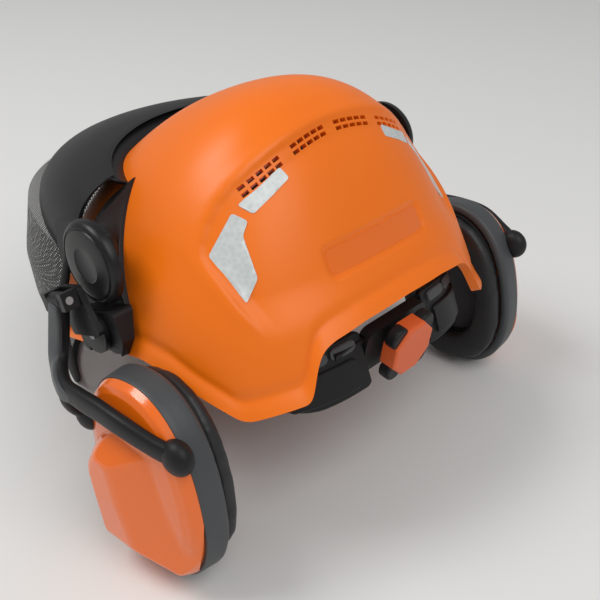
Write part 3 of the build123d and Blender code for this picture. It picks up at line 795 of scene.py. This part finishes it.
def inflate(obj, cap, pressure=4.0):
    """Fill a soft piece like a cushion, then hold every point within cap of where it started."""
    remesh = obj.modifiers.new("even", "REMESH")
    remesh.mode = "VOXEL"
    remesh.voxel_size = 0.0032
    bpy.context.view_layer.objects.active = obj
    bpy.ops.object.modifier_apply(modifier="even")
    start = np.array([v.co[:] for v in obj.data.vertices])
    cloth = obj.modifiers.new("fill", "CLOTH")
    cloth.settings.use_pressure = True
    cloth.settings.uniform_pressure_force = pressure
    cloth.settings.quality = 4
    cloth.settings.effector_weights.gravity = 0
    cloth.settings.tension_stiffness = 12
    cloth.settings.compression_stiffness = 12
    cloth.settings.bending_stiffness = 1.5
    scene = bpy.context.scene
    for step in range(1, 21):
        scene.frame_set(step)
        bpy.context.view_layer.update()
    seen = obj.evaluated_get(bpy.context.evaluated_depsgraph_get())
    moved = np.array([v.co[:] for v in seen.data.vertices]) - start
    obj.modifiers.remove(cloth)
    scene.frame_set(1)
    length = np.linalg.norm(moved, axis=1, keepdims=True)
    moved *= np.minimum(1, cap / np.maximum(length, 1e-9))
    moved[~np.isfinite(moved)] = 0
    for vertex, place in zip(obj.data.vertices, start + moved):
        vertex.co = place
    smooth = obj.modifiers.new("soften", "SMOOTH")
    smooth.iterations = 4
    smooth.factor = 0.5
    bpy.ops.object.modifier_apply(modifier="soften")
    finer = obj.modifiers.new("finer", "SUBSURF")
    finer.levels = finer.render_levels = 1
    bpy.ops.object.modifier_apply(modifier="finer")
    obj.data.polygons.foreach_set("use_smooth", [True] * len(obj.data.polygons))
    return obj


def make_cushion(name, side):
    """The soft ring that seals against the head."""
    rings = []
    count = 96
    outer, inner = oval(CUP_W - 2.0, CUP_H - 4.0, 2.3, count), oval(20.5, 31.5, 2.3, count)
    for turn in np.linspace(0, 2 * math.pi, 24, endpoint=False):
        c, s = math.cos(turn), math.sin(turn)
        c, s = math.copysign(abs(c) ** 0.62, c), math.copysign(abs(s) ** 0.62, s)
        line = (outer + inner) / 2 + (outer - inner) / 2 * c
        rings.append(cup_point(line[:, 0], line[:, 1], np.full(count, -15.8 + 5.2 * s)))
    rings = row(flip_if(side < 0, np.array(rings)))
    faces = joined_rings(rings, caps=False)
    last = 23 * count
    faces += [(last + k, last + (k + 1) % count, (k + 1) % count, k) for k in range(count)]
    cushion = mesh_object(f"ear_seal_{name}", rings.reshape(-1, 3), faces, FILM_SKIN)
    inflate(cushion, 0.0016)
    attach(cushion, f"cup_{name}")
    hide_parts(f"ear_cushion_{name}")


def make_liner(name, side):
    """Foam at the bottom of the cup."""
    rings = []
    for out, grow in ((-11.0, -4), (-11.2, -1.5), (-10.0, 0), (-4.0, 0), (-3.0, -2)):
        line = oval(29.5 + grow, 44.5 + grow, 2.3, 80)
        rings.append(cup_point(line[:, 0], line[:, 1], np.full(80, out)))
    rings = row(flip_if(side < 0, np.array(rings)))
    liner = mesh_object(f"cup_liner_{name}", rings.reshape(-1, 3), joined_rings(rings), FOAM)
    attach(liner, f"cup_{name}")
    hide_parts(f"cup_foam_{name}")


def make_arm(name, side):
    """Black rail with a grey strip outside, parting into a fork with a ball at each end."""
    rear = cup_point(PIVOT_ACROSS, PIVOT_UP, PIVOT_OUT) + np.array([1.5, 0, 0])
    front = cup_point(-PIVOT_ACROSS, PIVOT_UP, PIVOT_OUT) + np.array([1.5, 0, 0])
    flip = side < 0
    top = [(127.4, 24, 70), (127.6, 19.5, 62), (129, 14, 51), (132.5, 13, 42), (137.5, 18.5, 35.5), (142, 29, 31)]
    pieces = [
        bar(f"arm_rail_{name}", top + [(143.8, 43, 28), (144, 58, 24), (143.5, 73, 18), tuple(rear + [4.5, -10, 7]),
                                       tuple(rear + [0.5, 0, 0])],
            [(3.6, 4.2)] * 3 + [(3.6, 4.4), (3.6, 4.8), (3.6, 5.4), (3.6, 5.8), (3.6, 5.9), (3.5, 5.8), (3.4, 5.6),
                                (3.6, 5.6)], BLACK, flip, steps=9),
        bar(f"arm_front_{name}", [(141.5, 29, 31), (143, 27.5, 26), (141, 26.5, 20), tuple(front)],
            [(3.2, 5.0), (3.2, 4.6), (3.2, 4.2), (3.4, 4.0)], BLACK, flip),
        bar(f"arm_strip_{name}", [(p[0] + 3.4, p[1] - 0.4, p[2]) for p in top] + [(146.2, 38, 28.5)],
            [(1.4, 3.4), (1.5, 4.6), (1.5, 5.0), (1.5, 5.0), (1.5, 4.8), (1.4, 4.2), (0.9, 2.4)], GREY, flip,
            power=4.0, steps=9),
        ball(f"arm_ball_rear_{name}", rear, 9.0, BLACK, flip, 0.72),
        ball(f"arm_ball_front_{name}", front, 8.4, BLACK, flip, 0.72),
        bar(f"arm_knuckle_{name}", [(127.4, 18.6, 71), (127.4, 24, 71), (127.4, 29.4, 71)], [(4.2, 4.2)] * 3,
            BLACK, flip, power=2.2),
    ]
    for one in pieces:
        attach(one, f"arm_{name}")
    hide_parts(f"arm_fork_{name}")


# ---------------------------------------------------------------- pads of the harness

def make_band_pad(name, half_x, half_y, power, thick, z0, z1, turns, replaced, centre=8.0):
    """A soft strip inside an oval band, between two directions (0 is to the nape)."""
    rings = []
    for turn in np.linspace(turns[0], turns[1], 60):
        c, s = math.cos(turn), math.sin(turn)
        reach = 1 / ((abs(s) / half_x) ** power + (abs(c) / half_y) ** power) ** (1 / power)
        end = min(turn - turns[0], turns[1] - turn) / (turns[1] - turns[0])
        swell = min(1.0, 0.35 + math.sqrt(max(end, 0) * 9))
        ring = []
        for k in range(28):
            t = 2 * math.pi * k / 28
            a = math.copysign(abs(math.cos(t)) ** 0.7, math.cos(t)) * thick / 2 * swell
            b = math.copysign(abs(math.sin(t)) ** 0.45, math.sin(t)) * (z1 - z0) / 2 * min(1, 0.8 + swell * 0.2)
            r = reach - thick / 2 + a
            ring.append((r * s, centre + r * c, (z0 + z1) / 2 + b))
        rings.append(ring)
    rings = row(np.array(rings))
    pad = mesh_object(name, rings.reshape(-1, 3), joined_rings(rings), FOAM)
    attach(pad, "helmet")
    if replaced:
        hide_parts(replaced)
    return pad


def make_nape_panels():
    """The cradle's two arms with a raised panel on each."""
    for name, side in SIDES.items():
        for part, reach, thick, z0, z1, span in (("arm", 80.0, 3.4, -16.0, 14.5, (13.5, 44)),
                                                 ("panel", 81.6, 2.0, -13.0, 3.0, (17, 38)),
                                                 ("rib", 81.2, 1.6, 6.0, 12.5, (16, 24)),
                                                 ("rib_outer", 81.2, 1.6, 6.0, 12.5, (25, 33))):
            rings = []
            first, last = (side * a for a in span)
            for share in np.linspace(0, 1, 44):
                turn = math.radians(first + (last - first) * share)
                c, s = math.cos(turn), math.sin(turn)
                size = (reach, reach + 24.2)
                r = 1 / ((abs(s) / size[0]) ** 4 + (abs(c) / size[1]) ** 4) ** 0.25
                ends = min(share, 1 - share) * abs(last - first)
                round_in = 1.4 * max(0, 1 - ends / 1.6) ** 2
                lower = z0 + round_in + (5.0 * smoothstep(np.array(share), 0.5, 1.0) if part == "arm" else 0)
                upper = z1 - round_in
                t = thick / 2
                rings.append([((r - t + a) * s, 8.0 + (r - t + a) * c, b) for a, b in
                              ((-t, lower + 0.5), (-t + 0.5, lower), (t - 0.7, lower), (t, lower + 0.7),
                               (t, upper - 0.7), (t - 0.7, upper), (-t + 0.5, upper), (-t, upper - 0.5))])
            rings = row(np.array(rings))
            made = mesh_object(f"nape_{part}_{name}", rings.reshape(-1, 3), joined_rings(rings),
                               BLACK if part in ("arm", "panel") else GREY)
            crease(made, 30)
            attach(made, "helmet")
            if part == "arm" and side > 0:
                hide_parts("nape_cradle")


def make_pads():
    make_band_pad("brow_foam", 75.6, 95.6, 2.3, 4.3, 28.5, 57.5,
                  (math.radians(180 - 47), math.radians(180 + 47)), "brow_pad")
    for side, span in ((1, (17, 30)), (-1, (-30, -17))):
        make_band_pad("nape_foam_" + ("left" if side > 0 else "right"), 76.4, 100.4, 4.0, 3.8, -10.5, 11.5,
                      tuple(math.radians(a) for a in span), "nape_pad" if side > 0 else None)
    rings = []
    for z, r in ((110.2, 21), (110.0, 24), (111.0, 26), (113.0, 26), (114.0, 24), (113.9, 20)):
        rings.append([(r * math.cos(t), 12 + r * math.sin(t), z)
                      for t in np.linspace(0, 2 * math.pi, 64, endpoint=False)])
    rings = row(np.array(rings))
    pad = mesh_object("crown_foam", rings.reshape(-1, 3), joined_rings(rings), FOAM)
    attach(pad, "helmet")
    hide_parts("crown_pad")


# ---------------------------------------------------------------- nodes that stay, stage, light, camera

def finish_nodes():
    """Materials and softened edges for the nodes that are shown as they are."""
    for name, node in NODES.items():
        look = next((v for k, v in NODE_LOOKS.items() if name.startswith(k)), BLACK)
        node.data.materials.clear()
        node.data.materials.append(look)
        if not node.hide_render and not name.startswith("crown_strap"):
            round_off = node.modifiers.new("edges", "BEVEL")
            round_off.width = 0.0006
            round_off.segments = 2
            round_off.limit_method = "ANGLE"
            round_off.angle_limit = math.radians(40)
            round_off.harden_normals = True


def make_stage():
    pale = material("studio_paper", (0.76, 0.76, 0.75), 0.75)
    bpy.ops.mesh.primitive_plane_add(size=FLOOR_SIZE, location=(0, 0, 0))
    floor = bpy.context.object
    floor.name = "studio_floor"
    floor.data.materials.append(pale)


def area_light(name, spot, target, size, watts, color=(1, 1, 1)):
    data = bpy.data.lights.new(name, "AREA")
    data.shape = "RECTANGLE"
    data.size, data.size_y = size
    data.energy = watts
    data.color = color
    lamp = bpy.data.objects.new(name, data)
    bpy.context.collection.objects.link(lamp)
    lamp.location = spot
    lamp.rotation_euler = (Vector(target) - Vector(spot)).to_track_quat("-Z", "Y").to_euler()


def make_light():
    world = bpy.data.worlds.new("studio")
    bpy.context.scene.world = world
    world.use_nodes = True
    world.node_tree.nodes["Background"].inputs["Color"].default_value = (0.90, 0.91, 0.92, 1)
    world.node_tree.nodes["Background"].inputs["Strength"].default_value = 0.42
    bpy.context.scene.view_settings.view_transform = "Standard"
    middle = (0, 0, 0.1)
    area_light("key_window", (0.75, -0.70, 1.55), middle, (0.8, 0.8), 15, (1.0, 0.985, 0.96))
    area_light("ceiling", (0.2, 1.25, 1.65), middle, (1.4, 1.4), 16, (1.0, 0.99, 0.975))


def make_camera():
    data = bpy.data.cameras.new("camera")
    data.lens = 54
    data.sensor_width = 36
    data.clip_start, data.clip_end = 0.02, 20
    camera = bpy.data.objects.new("camera", data)
    bpy.context.collection.objects.link(camera)
    anchor = row((0, 123.5, 47.5))
    camera.location = Vector(anchor) + Vector((0.31255, 0.2370, 0.2182))
    camera.rotation_mode = "QUATERNION"
    camera.rotation_quaternion = Vector((-0.6098, -0.5833, -0.5364)).to_track_quat("-Z", "Y")
    bpy.context.scene.camera = camera


make_shell()
make_films()
make_visor()
make_band_lip()
make_caps()
for name, side in SIDES.items():
    make_bracket(name, side)
    make_cup_shell(name, side)
    make_cup_ring(name, side)
    make_cushion(name, side)
    make_liner(name, side)
    make_arm(name, side)
make_nape_panels()
make_pads()
finish_nodes()
make_stage()
make_light()
make_camera()
